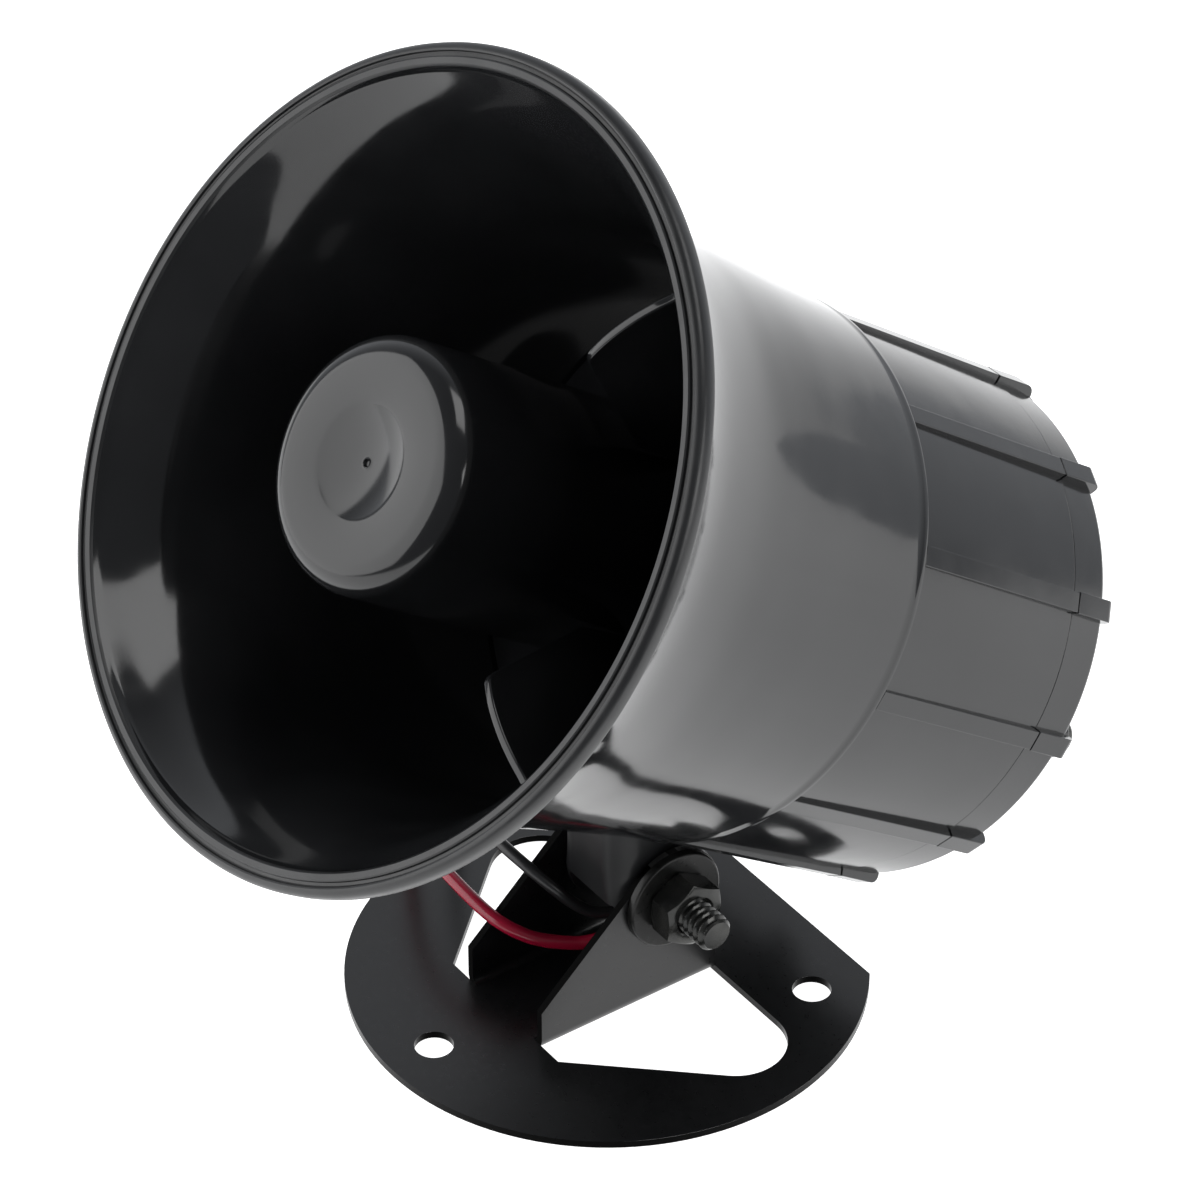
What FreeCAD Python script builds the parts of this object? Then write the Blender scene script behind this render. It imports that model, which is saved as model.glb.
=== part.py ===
"""Horn alarm siren: a moulded re-entrant horn on a pressed steel swivel bracket.

Frame: +Z up, origin at the middle of the base plate's underside, horn mouth towards -Y,
pivot bolt along X. Inside the horn's own frame Z is the distance behind the rim plane.
All sizes are millimetres and degrees.
"""
import FreeCAD, Part
import math
import os

Vector = FreeCAD.Vector

# ---- Placement of the horn on its pivot ----
TILT = 34.9            # horn axis above level
PIVOT_Y = 4.0
PIVOT_Z = 16.0
RIM_FORWARD = 73.95    # pivot to rim plane, along the horn axis
AXIS_RISE = 40.8       # pivot to horn axis, square to it

# ---- Pressed steel bracket ----
SHEET = 1.0
PLATE_R = 33.5
PLATE_BACK_Y = 26.3    # straight back edge
MOUNT_HOLE_R = 2.5
FRONT_HOLE_Y = -26.6
REAR_HOLE_X = 18.85
REAR_HOLE_Y = 18.45
EAR_OUTER_X = 8.14
EAR_FRONT_Y = -15.8
EAR_BACK_Y = 11.2
EAR_STUB_Z = 6.3       # height of the ear's upright front edge
EAR_TIP_Y = 4.5
EAR_TIP_Z = 15.8
EAR_TIP_R = 6.7
EAR_BORE_R = 2.6
BEND_R = 2.0           # outside radius of the ear's fold
UNFOLD = 5.34          # height on an ear to distance in the plate's cut-out

# ---- Pivot bolt, washer and nut (5 mm, coarse thread) ----
BOLT_R = 2.42
BOLT_LENGTH = 26.0
BOLT_HEAD = 3.5
THREAD_PITCH = 1.0
THREAD_DEPTH = 0.45
THREAD_LENGTH = 10.5
HEX_FLATS = 8.0
WASHER_R = 6.8
WASHER_T = 1.2
NUT_T = 4.0
NUT_BORE_R = 2.45

# ---- Horn bell ----
RIM_R = 50.0
LIP_DEPTH = 2.4        # length of the rim's outer band
SEAM_S = 58.5          # joint between bell and ribbed body
SEAM_R = 34.86
BELL_INNER_R = 32.8    # inside the bell at its joint
VANE_T = 1.6
VANE_ANGLES = (60, -30)

# ---- Tone reflector (the bullet in the mouth) ----
BULLET_R = 15.4
BULLET_WALL = 1.6
BULLET_FACE_S = -2.0
BULLET_ROUND = 4.3
BULLET_END_S = 38.0
DISH_R = 7.2
DISH_DEPTH = 2.2

# ---- Ribbed body and rear cover ----
BODY_FRONT_R = 34.3
BODY_REAR_R = 33.5
BODY_INNER_R = 31.2
BODY_END_S = 89.0
BODY_LIP_R = 28.0
RIB_COUNT = 12
RIB_WIDTH = 2.5
RIB_FRONT_R = 34.8
RIB_REAR_R = 34.4
GASKET_T = 0.3
COVER_START_S = BODY_END_S + GASKET_T
COVER_FACE_S = 95.8
COVER_R = 33.4
COVER_WALL = 2.0
COVER_ROUND = 1.0
LUG_WIDTH = 2.7
LUG_R = 34.4
LUG_END_S = 96.3
SCREW_HEAD_R = 2.5
SCREW_CIRCLE_R = 30.4
PILLAR_R = 3.0
PILLAR_START_S = 74.0
COVER_SCREW_END_S = 77.0
PILLAR_END_S = 86.2
COVER_PAD_S = LUG_END_S
SCREW_ANGLES = (0, 90, 180, 270)

# ---- Foot under the body ----
FOOT_HALF = 6.8
FOOT_R = 7.0
FOOT_BORE_R = 2.5
SLOT_X0 = -4.0         # hollow in the foot that the leads leave through
SLOT_X1 = 5.1
HUB_R = 4.1            # left around the bolt inside the hollow
SWEEP_START = 6        # degrees below the front where the hollow round the hub starts
DUCT_Y0 = -2.3         # upright duct from the hollow to the body
DUCT_Y1 = -0.1
DUCT_TOP_Z = 27.5
PORT_S0 = 62.0         # where the duct opens into the body
PORT_S1 = 67.5

GROMMET_Z = 18.5
GROMMET_TOP_Z = 23.0
INNER_RED_X = 3.2
INNER_BLACK_X = -1.4

# ---- Compression driver ----
THROAT_R = 6.5
TUBE_FRONT_S = 7.0
TUBE_SEAT_S = 38.0
TUBE_SEAT_R = 10.0
DRIVER_SEAT_S = 60.0
FRAME_R = 27.0
FRAME_BORE_R = 17.4
FRAME_T = 4.0
DIAPHRAGM_R = 16.9
DIAPHRAGM_T = 0.4
DIAPHRAGM_S = 61.6
PLATE_END_S = 67.0
MAGNET_R = 22.0
MAGNET_END_S = 75.0
YOKE_END_S = 78.0
POLE_R = 6.1
GAP_BORE_R = 7.4
COIL_INNER_R = 6.5
COIL_OUTER_R = 7.0
COIL_END_S = 68.5

# ---- Circuit board ----
BOARD_S = 82.0
BOARD_T = 1.6
BOARD_R = 26.5
POST_CIRCLE_R = 23.5
POST_R = 2.6
POST_ANGLES = (45, 165, 285)

# ---- Supply leads ----
RED_R = 0.9
BLACK_R = 0.8
TIP_R = 0.55
TIP_LENGTH = 6.0
RED_ROUTE = [
    (4.0, 1.35, 10.3), (1.9, -2.2, 6.85), (-1.9, -8.9, 7.9), (-4.7, -12.35, 10.05),
    (-8.7, -13.5, 11.2), (-16.3, -13.6, 12.0), (-24.0, -12.2, 10.9), (-31.5, -8.8, 7.5),
    (-38.5, -4.8, 3.4), (-46.0, -0.4, 1.15), (-54.0, 5.6, 0.95), (-61.0, 13.6, 0.95),
    (-65.0, 23.2, 0.95), (-65.5, 33.6, 0.95), (-61.5, 43.2, 0.95), (-53.5, 50.2, 0.95),
    (-43.5, 54.2, 0.95), (-33.5, 57.8, 0.95), (-24.8, 63.0, 0.95),
]
BLACK_ROUTE = [
    (0.9, 2.3, 9.7), (-0.2, -0.9, 9.6), (-1.9, -3.5, 11.2), (-4.1, -6.2, 14.5),
    (-8.5, -8.3, 17.2), (-14.5, -8.6, 17.7), (-20.5, -7.4, 15.9), (-27.0, -4.6, 12.3),
    (-33.5, -0.8, 7.4), (-40.0, 4.4, 2.6), (-46.0, 11.6, 0.9), (-49.8, 20.4, 0.85),
    (-50.2, 30.2, 0.85), (-46.5, 39.0, 0.85), (-39.0, 44.6, 0.85), (-29.8, 46.0, 0.85),
    (-20.8, 47.6, 0.85), (-12.6, 51.6, 0.85), (-6.6, 54.5, 0.85), (-0.4, 55.2, 0.85),
]

# ---- Horn frame ----
tilt = math.radians(TILT)
FORWARD = Vector(0, -math.cos(tilt), math.sin(tilt))
UPWARD = Vector(0, math.sin(tilt), math.cos(tilt))
PIVOT = Vector(0, PIVOT_Y, PIVOT_Z)
RIM_CENTRE = PIVOT + FORWARD * RIM_FORWARD + UPWARD * AXIS_RISE
HORN = FreeCAD.Placement(RIM_CENTRE, FreeCAD.Rotation(Vector(1, 0, 0), -(90 + TILT)))


def placed(shape):
    """A shape drawn in the horn's frame, moved to where the horn is."""
    moved = shape.copy()
    moved.Placement = HORN.multiply(moved.Placement)
    return moved


def polar(radius, angle, s):
    """Point in the horn's frame: angle 0 is +X and 90 is the top of the horn."""
    a = math.radians(angle)
    return Vector(radius * math.cos(a), -radius * math.sin(a), s)


def turned(edges):
    """Solid of revolution about the horn axis from a closed chain of edges in the XZ plane."""
    face = Part.Face(Part.Wire(Part.__sortEdges__(edges)))
    return face.revolve(Vector(0, 0, 0), Vector(0, 0, 1), 360)


def chain(points):
    """Straight edges through (radius, s) points."""
    corners = [Vector(r, 0, s) for r, s in points]
    return [Part.LineSegment(a, b).toShape() for a, b in zip(corners, corners[1:])]


def curve(points):
    """One smooth edge through (radius, s) points."""
    spline = Part.BSplineCurve()
    spline.interpolate([Vector(r, 0, s) for r, s in points])
    return spline.toShape()


def arc(start, middle, end):
    """Arc edge through three (radius, s) points."""
    a, b, c = (Vector(r, 0, s) for r, s in (start, middle, end))
    return Part.Arc(a, b, c).toShape()


def ring(inner, outer, s0, s1):
    """Plain ring or, with inner 0, a disc about the horn axis."""
    body = Part.makeCylinder(outer, s1 - s0, Vector(0, 0, s0))
    if inner:
        body = body.cut(Part.makeCylinder(inner, s1 - s0 + 2, Vector(0, 0, s0 - 1)))
    return body


def rod(radius, angle, circle, s0, s1):
    """Cylinder parallel to the horn axis, on a circle about it."""
    return Part.makeCylinder(radius, s1 - s0, polar(circle, angle, s0))


def blade(outline, angle, width):
    """Flat radial plate with an outline of (radius, s) points."""
    corners = [Vector(r, 0, s) for r, s in outline]
    face = Part.Face(Part.makePolygon(corners + corners[:1]))
    plate = face.extrude(Vector(0, width, 0))
    plate.translate(Vector(0, -width / 2, 0))
    plate.rotate(Vector(0, 0, 0), Vector(0, 0, 1), -angle)
    return plate


def hexagon(flats, x0, x1):
    """Hexagonal prism along X about the pivot, two flats upright."""
    corner = flats / math.sqrt(3)
    points = []
    for k in range(7):
        a = math.radians(60 * k + 30)
        points.append(Vector(x0, PIVOT_Y + corner * math.cos(a), PIVOT_Z + corner * math.sin(a)))
    prism = Part.Face(Part.makePolygon(points)).extrude(Vector(x1 - x0, 0, 0))
    return prism


def across(radius, x0, x1):
    """Cylinder along X on the pivot axis."""
    return Part.makeCylinder(radius, x1 - x0, Vector(x0, PIVOT_Y, PIVOT_Z), Vector(1, 0, 0))


# ---- Bracket and pivot ----
def tip_outline(lowest):
    """Ear outline as edges in (y, height): upright front, slope, round tip, upright back."""
    reach_y = EAR_TIP_Y - EAR_FRONT_Y
    reach_z = EAR_TIP_Z - EAR_STUB_Z
    slope = math.atan2(reach_z, reach_y) + math.asin(EAR_TIP_R / math.hypot(reach_y, reach_z))
    a = slope + math.pi / 2
    touch = (EAR_TIP_Y + EAR_TIP_R * math.cos(a), EAR_TIP_Z + EAR_TIP_R * math.sin(a))
    b = a / 2
    middle = (EAR_TIP_Y + EAR_TIP_R * math.cos(b), EAR_TIP_Z + EAR_TIP_R * math.sin(b))
    end = (EAR_TIP_Y + EAR_TIP_R, EAR_TIP_Z)
    front = [(EAR_FRONT_Y, lowest), (EAR_FRONT_Y, EAR_STUB_Z), touch]
    back = [end, (EAR_BACK_Y, lowest), (EAR_FRONT_Y, lowest)]
    return front, (touch, middle, end), back


def outline_face(place):
    """Face with the ear's outline, each (y, height) point set by place()."""
    front, bow, back = tip_outline(0.8)
    edges = []
    for points in (front, back):
        corners = [place(*p) for p in points]
        edges += [Part.LineSegment(a, b).toShape() for a, b in zip(corners, corners[1:])]
    edges.append(Part.Arc(*(place(*p) for p in bow)).toShape())
    return Part.Face(Part.Wire(Part.__sortEdges__(edges)))


def ear(side):
    """One folded ear with its bend, on the +X side for side 1."""
    x1 = EAR_OUTER_X
    x0 = x1 - SHEET
    inner_bend = BEND_R - SHEET
    top = EAR_TIP_Z + EAR_TIP_R + 1
    start_x = x1 - BEND_R - 1
    k = math.sqrt(0.5)

    def point(x, z):
        return Vector(side * x, EAR_FRONT_Y, z)

    lines = [
        ((start_x, 0), (x1 - BEND_R, 0)),
        ((x1, BEND_R), (x1, top)),
        ((x1, top), (x0, top)),
        ((x0, top), (x0, BEND_R)),
        ((x1 - BEND_R, SHEET), (start_x, SHEET)),
        ((start_x, SHEET), (start_x, 0)),
    ]
    edges = [Part.LineSegment(point(*a), point(*b)).toShape() for a, b in lines]
    for radius in (BEND_R, inner_bend):
        a = point(x1 - BEND_R, BEND_R - radius)
        b = point(x1 - BEND_R + radius * k, BEND_R - radius * k)
        c = point(x1 - BEND_R + radius, BEND_R)
        edges.append(Part.Arc(a, b, c).toShape())
    section = Part.Face(Part.Wire(Part.__sortEdges__(edges)))
    strip = section.extrude(Vector(0, EAR_BACK_Y - EAR_FRONT_Y, 0))
    outline = outline_face(lambda y, z: Vector(side * (x0 - 1), y, z))
    upright = outline.extrude(Vector(side * (SHEET + 2), 0, 0))
    fold = Part.makeBox(10, 60, 0.8 + BEND_R, Vector(-5 + side * (x1 - 3), -30, -1))
    return strip.common(upright.fuse(fold))


def cut_out(side):
    """Hole left in the plate where one ear was folded up."""
    outline = outline_face(lambda y, z: Vector(side * (z + UNFOLD), y, -1))
    return outline.extrude(Vector(0, 0, SHEET + 2))


def base_bracket():
    plate = Part.makeCylinder(PLATE_R, SHEET)
    plate = plate.cut(Part.makeBox(80, 20, 5, Vector(-40, PLATE_BACK_Y, -1)))
    for x, y in ((0, FRONT_HOLE_Y), (REAR_HOLE_X, REAR_HOLE_Y), (-REAR_HOLE_X, REAR_HOLE_Y)):
        plate = plate.cut(Part.makeCylinder(MOUNT_HOLE_R, SHEET + 2, Vector(x, y, -1)))
    for side in (1, -1):
        plate = plate.cut(cut_out(side))
    for side in (1, -1):
        plate = plate.fuse(ear(side))
    return plate.cut(across(EAR_BORE_R, -20, 20)).removeSplitter()


def pivot_bolt():
    """Hex head against the far ear, thread rings where the thread shows."""
    x0 = -EAR_OUTER_X
    end = x0 + BOLT_LENGTH
    points = [(x0, 0), (x0, BOLT_R)]
    start = end - THREAD_LENGTH
    for k in range(int(THREAD_LENGTH / THREAD_PITCH)):
        x = start + k * THREAD_PITCH
        points.append((x, BOLT_R))
        points.append((x + THREAD_PITCH / 2, BOLT_R - THREAD_DEPTH))
    points += [(end - 0.5, BOLT_R), (end, BOLT_R - 0.5), (end, 0)]
    corners = [Vector(x, PIVOT_Y, PIVOT_Z + r) for x, r in points]
    face = Part.Face(Part.makePolygon(corners + corners[:1]))
    shank = face.revolve(PIVOT, Vector(1, 0, 0), 360)
    return shank.fuse(hexagon(HEX_FLATS, x0 - BOLT_HEAD, x0)).removeSplitter()


def pivot_washer():
    x0 = EAR_OUTER_X
    return across(WASHER_R, x0, x0 + WASHER_T).cut(across(EAR_BORE_R, x0 - 1, x0 + 5))


def pivot_nut():
    x0 = EAR_OUTER_X + WASHER_T
    nut = hexagon(HEX_FLATS, x0, x0 + NUT_T)
    corner = HEX_FLATS / math.sqrt(3)
    cone = Part.makeCone(corner + 3.0, corner - 0.45, NUT_T, Vector(x0, PIVOT_Y, PIVOT_Z), Vector(1, 0, 0))
    return nut.common(cone).cut(across(NUT_BORE_R, x0 - 1, x0 + NUT_T + 1))


# ---- Horn ----
BELL_OUTSIDE = [
    (47.9, 3.3), (45.4, 6.2), (43.0, 10.0), (40.6, 16.0), (38.5, 24.0),
    (37.2, 32.0), (36.1, 42.0), (35.4, 50.0), (SEAM_R, SEAM_S),
]
BELL_INSIDE = [
    (46.8, 0.9), (43.5, 5.2), (41.1, 9.6), (38.7, 15.6), (36.5, 23.8),
    (35.2, 32.0), (34.1, 42.0), (33.4, 50.0), (BELL_INNER_R, SEAM_S),
]
VANE_OUTLINE = [
    (26.8, 9.2), (31.0, 8.4), (35.7, 8.7), (39.4, 9.9), (42.4, 10.2), (40.0, 15.4), (37.8, 22.6),
    (36.2, 32.0), (35.1, 42.0), (34.4, 49.5), (15.5, 37.5), (15.5, 30.0), (22.5, 17.0),
]


def bell_of_revolution():
    """Flared bell with its stepped rim, in the horn's frame."""
    lip = [
        BELL_INSIDE[0], (47.0, 0.0), (48.1, 0.0), (48.2, 0.5), (48.7, 0.5), (48.8, 0.0), (49.3, 0.0),
        (RIM_R, 0.7), (RIM_R, LIP_DEPTH), BELL_OUTSIDE[0],
    ]
    edges = chain(lip) + [curve(BELL_OUTSIDE), curve(BELL_INSIDE)]
    edges += chain([BELL_OUTSIDE[-1], BELL_INSIDE[-1]])
    return turned(edges)


def horn_bell():
    return placed(bell_of_revolution())


def bell_vanes():
    """Vanes that run from the bell's wall in to the reflector, one solid each."""
    bell = bell_of_revolution()
    return Part.makeCompound([placed(blade(VANE_OUTLINE, a, VANE_T).cut(bell)) for a in VANE_ANGLES])


def tone_reflector():
    """Closed bullet that turns the sound back on itself, with a shallow dish in its face."""
    face = BULLET_FACE_S
    flat_r = BULLET_R - BULLET_ROUND
    k = math.sqrt(0.5)
    inner_r = BULLET_R - BULLET_WALL
    bottom = face + DISH_DEPTH
    dish_radius = (DISH_R ** 2 + DISH_DEPTH ** 2) / (2 * DISH_DEPTH)
    half = DISH_R / 2
    half_s = bottom + dish_radius - math.sqrt(dish_radius ** 2 - half ** 2)
    half_s = 2 * bottom - half_s
    round_mid = (flat_r + BULLET_ROUND * k, face + BULLET_ROUND * (1 - k))
    edges = [arc((0, bottom), (half, half_s), (DISH_R, face))]
    edges += chain([(DISH_R, face), (flat_r, face)])
    edges.append(arc((flat_r, face), round_mid, (BULLET_R, face + BULLET_ROUND)))
    edges += chain([
        (BULLET_R, face + BULLET_ROUND), (BULLET_R, BULLET_END_S), (inner_r, BULLET_END_S),
        (inner_r, face + 6), (inner_r - 3, face + 3.6), (DISH_R, bottom + 1.8), (0, bottom + 1.8),
        (0, bottom),
    ])
    return placed(turned(edges))


def throat_tube():
    """Inner tube that carries the sound forward from the driver into the reflector."""
    outside = chain([(9.4, TUBE_FRONT_S), (TUBE_SEAT_R, TUBE_SEAT_S), (TUBE_SEAT_R, DRIVER_SEAT_S)])
    inside = chain([(THROAT_R, DRIVER_SEAT_S), (6.8, TUBE_SEAT_S), (8.0, TUBE_FRONT_S)])
    ends = chain([(TUBE_SEAT_R, DRIVER_SEAT_S), (THROAT_R, DRIVER_SEAT_S)])
    return placed(turned(outside + ends + inside + chain([(8.0, TUBE_FRONT_S), (9.4, TUBE_FRONT_S)])))


def throat_floor():
    """Curved floor of the bell: a collar for the tube, stubs for the reflector, a seat for the driver."""
    bore = TUBE_SEAT_R + 0.05
    collar = TUBE_SEAT_R + 1.6
    front = [(collar, 41.5), (12.6, 44.6), (15.0, 48.5), (22.0, 53.0), (BELL_INNER_R - 0.1, 55.0)]
    edges = [curve(front)]
    edges += chain([
        front[-1], (BELL_INNER_R - 0.1, SEAM_S), (BODY_LIP_R - 0.2, SEAM_S),
        (BODY_LIP_R - 0.2, DRIVER_SEAT_S),
        (21.8, DRIVER_SEAT_S), (21.8, 55.8), (19.5, 55.2), (13.4, 51.6), (collar + 0.4, 50.5),
        (collar + 0.4, DRIVER_SEAT_S), (bore, DRIVER_SEAT_S), (bore, 41.5), front[0],
    ])
    floor = turned(edges)
    stub = [(12.4, 46.0), (13.6, BULLET_END_S), (BULLET_R, BULLET_END_S), (16.4, 50.6), (12.9, 49.6)]
    for k in range(4):
        floor = floor.fuse(blade(stub, 15 + 90 * k, 2.0))
    for angle in SCREW_ANGLES:
        floor = floor.cut(rod(1.3, angle + 45, 25.0, 55.5, 61.0))
    return placed(floor.removeSplitter())


# ---- Body ----
def foot():
    """Pivot foot in the bracket's own frame: round about the bolt, rising into the body."""
    width = 2 * FOOT_HALF
    round_end = across(FOOT_R, -FOOT_HALF, FOOT_HALF)
    front = PIVOT_Y - FOOT_R
    back = PIVOT_Y + FOOT_R
    points = [(front, PIVOT_Z), (front - 0.8, 30.5), (back + 3, 23.5), (back, PIVOT_Z)]
    corners = [Vector(-FOOT_HALF, y, z) for y, z in points]
    neck = Part.Face(Part.makePolygon(corners + corners[:1])).extrude(Vector(width, 0, 0))
    return round_end.fuse(neck)


def lead_hollow():
    """Hollow that the leads pass through: round the hub, up the foot and into the body."""
    width = SLOT_X1 - SLOT_X0
    start = Vector(SLOT_X0, PIVOT_Y, PIVOT_Z)
    along = Vector(1, 0, 0)
    sweep = Part.makeCylinder(FOOT_R + 3, width, start, along)
    sweep = sweep.cut(Part.makeCylinder(HUB_R, width, start, along))
    sectors = []
    for turn in (SWEEP_START, SWEEP_START + 22):
        sector = Part.makeBox(width, 12, 12, Vector(SLOT_X0, PIVOT_Y - 12, PIVOT_Z - 12))
        sector.rotate(PIVOT, along, turn)
        sectors.append(sector)
    duct = Part.makeBox(width, DUCT_Y1 - DUCT_Y0, DUCT_TOP_Z - 13, Vector(SLOT_X0, DUCT_Y0, 13))
    port = Part.makeBox(width, 9, PORT_S1 - PORT_S0, Vector(SLOT_X0, BODY_INNER_R - 2, PORT_S0))
    return sweep.common(sectors[0].fuse(sectors[1])).fuse([duct, placed(port)])


def body_housing():
    """Ribbed tube with its front lip, screw pillars and the pivot foot."""
    shell = turned(chain([
        (BODY_LIP_R, SEAM_S), (BODY_FRONT_R, SEAM_S), (BODY_REAR_R, BODY_END_S),
        (BODY_INNER_R, BODY_END_S), (BODY_INNER_R, SEAM_S + 2), (BODY_LIP_R, SEAM_S + 2),
        (BODY_LIP_R, SEAM_S),
    ]))
    rib = [
        (BODY_FRONT_R - 1.2, SEAM_S), (RIB_FRONT_R, SEAM_S),
        (RIB_REAR_R, BODY_END_S), (BODY_REAR_R - 1.2, BODY_END_S),
    ]
    for k in range(RIB_COUNT):
        shell = shell.fuse(blade(rib, 360 / RIB_COUNT * k, RIB_WIDTH))
    for angle in SCREW_ANGLES:
        shell = shell.fuse(rod(PILLAR_R, angle, SCREW_CIRCLE_R, PILLAR_START_S, PILLAR_END_S))
    inside = placed(ring(0, BODY_INNER_R, SEAM_S - 10, BODY_END_S + 10))
    ahead = placed(ring(0, 80, SEAM_S - 40, SEAM_S))
    body = placed(shell).fuse(foot().cut(inside).cut(ahead))
    body = body.cut(across(FOOT_BORE_R, -20, 20)).cut(lead_hollow())
    for angle in SCREW_ANGLES:
        body = body.cut(placed(rod(1.4, angle, SCREW_CIRCLE_R, COVER_SCREW_END_S - 1, BODY_END_S + 1)))
    return body.removeSplitter()


def rear_gasket():
    gasket = ring(BODY_INNER_R + 0.1, 32.9, BODY_END_S, COVER_START_S)
    for angle in SCREW_ANGLES:
        gasket = gasket.cut(rod(1.6, angle, SCREW_CIRCLE_R, BODY_END_S - 1, COVER_START_S + 1))
    return placed(gasket)


def rear_cover():
    """Pressed-in back cover: skirt, spigot, board posts, screw pads and a lug behind each rib."""
    inner_r = BODY_INNER_R - 0.1
    face_in = COVER_FACE_S - COVER_WALL
    corner = COVER_ROUND
    k = math.sqrt(0.5)
    start = (COVER_R, COVER_FACE_S - corner)
    middle = (COVER_R - corner * (1 - k), COVER_FACE_S - corner * (1 - k))
    end = (COVER_R - corner, COVER_FACE_S)
    edges = [arc(start, middle, end)]
    edges += chain([
        end, (0, COVER_FACE_S), (0, face_in), (inner_r - 1.5, face_in), (inner_r - 1.5, 86.6),
        (inner_r, 86.6), (inner_r, COVER_START_S), (COVER_R, COVER_START_S), start,
    ])
    cover = turned(edges)
    lug = [
        (COVER_R - 1.4, COVER_START_S), (LUG_R, COVER_START_S), (LUG_R, LUG_END_S - 1.1),
        (LUG_R - 0.5, LUG_END_S - 0.2), (LUG_R - 1.4, LUG_END_S), (COVER_R - 2.6, LUG_END_S),
        (COVER_R - 2.6, LUG_END_S - 2.5),
    ]
    for n in range(RIB_COUNT):
        cover = cover.fuse(blade(lug, 360 / RIB_COUNT * n, LUG_WIDTH))
    for angle in SCREW_ANGLES:
        spigot = rod(PILLAR_R, angle, SCREW_CIRCLE_R, PILLAR_END_S + 0.4, COVER_START_S)
        cover = cover.fuse(spigot.common(ring(0, inner_r, 80, 100)))
        cover = cover.fuse(rod(PILLAR_R, angle, SCREW_CIRCLE_R, COVER_START_S, COVER_PAD_S))
    for angle in POST_ANGLES:
        cover = cover.fuse(rod(POST_R, angle, POST_CIRCLE_R, BOARD_S + BOARD_T, face_in + 1))
    for angle in SCREW_ANGLES:
        cover = cover.cut(rod(1.6, angle, SCREW_CIRCLE_R, 80, 100))
    for angle in POST_ANGLES:
        cover = cover.cut(rod(1.1, angle, POST_CIRCLE_R, BOARD_S, face_in))
    return placed(cover.removeSplitter())


def screws(angles, circle, head_r, head_t, shank_r, head_s, end_s):
    """Pan-head screws as separate solids. The heads face backwards if end_s is ahead of head_s."""
    way = 1 if end_s < head_s else -1
    made = []
    for angle in angles:
        low = min(head_s, head_s + way * head_t)
        head = rod(head_r, angle, circle, low, low + head_t)
        slot_s = low + head_t - 0.6 if way > 0 else low
        centre = polar(circle, angle, slot_s)
        for long_side, short_side in ((2.6, 0.7), (0.7, 2.6)):
            corner = centre - Vector(long_side / 2, short_side / 2, 0)
            head = head.cut(Part.makeBox(long_side, short_side, 0.6, corner))
        shank = rod(shank_r, angle, circle, min(head_s, end_s), max(head_s, end_s))
        made.append(placed(head.fuse(shank)))
    return Part.makeCompound(made)


def cable_grommet():
    """Rubber block in the foot's duct, drilled for the two leads."""
    gap = 0.02
    size = (SLOT_X1 - SLOT_X0 - 2 * gap, DUCT_Y1 - DUCT_Y0 - 2 * gap, GROMMET_TOP_Z - GROMMET_Z)
    block = Part.makeBox(*size, Vector(SLOT_X0 + gap, DUCT_Y0 + gap, GROMMET_Z))
    for x, radius in ((INNER_RED_X, RED_R), (INNER_BLACK_X, BLACK_R)):
        block = block.cut(Part.makeCylinder(radius, 20, Vector(x, (DUCT_Y0 + DUCT_Y1) / 2, GROMMET_Z - 5)))
    return block


# ---- Driver ----
def driver_frame():
    body = ring(FRAME_BORE_R, FRAME_R, DRIVER_SEAT_S, DRIVER_SEAT_S + FRAME_T)
    for angle in SCREW_ANGLES:
        body = body.cut(rod(1.6, angle + 45, 25.0, 59, 65))
    return placed(body)


def diaphragm():
    """Thin dome and cone with a rolled edge, joined by its neck to the coil former."""
    s = DIAPHRAGM_S
    t = DIAPHRAGM_T
    front = [(0, s - 1.3), (3.4, s - 1.0), (6.6, s), (9.0, s + 0.7)]
    front += [(12.5, s + 0.5), (14.6, s - 0.4), (DIAPHRAGM_R, s)]
    back = [(r, z + t) for r, z in front]
    edges = [curve(front), curve(back)]
    edges += chain([front[0], back[0]])
    edges += chain([front[-1], back[-1]])
    return placed(turned(edges))


def voice_coil():
    return placed(ring(COIL_INNER_R, COIL_OUTER_R, DIAPHRAGM_S + 0.6, COIL_END_S))


def front_plate():
    return placed(ring(GAP_BORE_R, MAGNET_R - 0.5, DRIVER_SEAT_S + FRAME_T, PLATE_END_S))


def magnet_ring():
    return placed(ring(11.0, MAGNET_R, PLATE_END_S, MAGNET_END_S))


def pole_yoke():
    disc = ring(0, MAGNET_R - 0.5, MAGNET_END_S, YOKE_END_S)
    return placed(disc.fuse(ring(0, POLE_R, DRIVER_SEAT_S + FRAME_T, MAGNET_END_S)).removeSplitter())


# ---- Electronics ----
def circuit_board():
    board = ring(0, BOARD_R, BOARD_S, BOARD_S + BOARD_T)
    for angle in POST_ANGLES:
        board = board.cut(rod(1.3, angle, POST_CIRCLE_R, BOARD_S - 1, BOARD_S + BOARD_T + 1))
    return placed(board)


BOARD_BACK_S = BOARD_S + BOARD_T


def on_board(x, y, width, depth, height):
    """Box standing on the back of the board, centred on x, y in the horn's frame."""
    return Part.makeBox(width, depth, height, Vector(x - width / 2, y - depth / 2, BOARD_BACK_S))


def tone_chip():
    return placed(on_board(3.0, -10.5, 9.4, 6.3, 3.4))


def power_transistor():
    case = on_board(-10.5, 2.0, 10.0, 9.0, 4.4)
    tab = on_board(-10.5, -5.5, 10.0, 6.0, 1.3)
    tab = tab.cut(Part.makeCylinder(1.8, 10, Vector(-10.5, -6.0, BOARD_S)))
    return placed(case.fuse(tab).removeSplitter())


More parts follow.
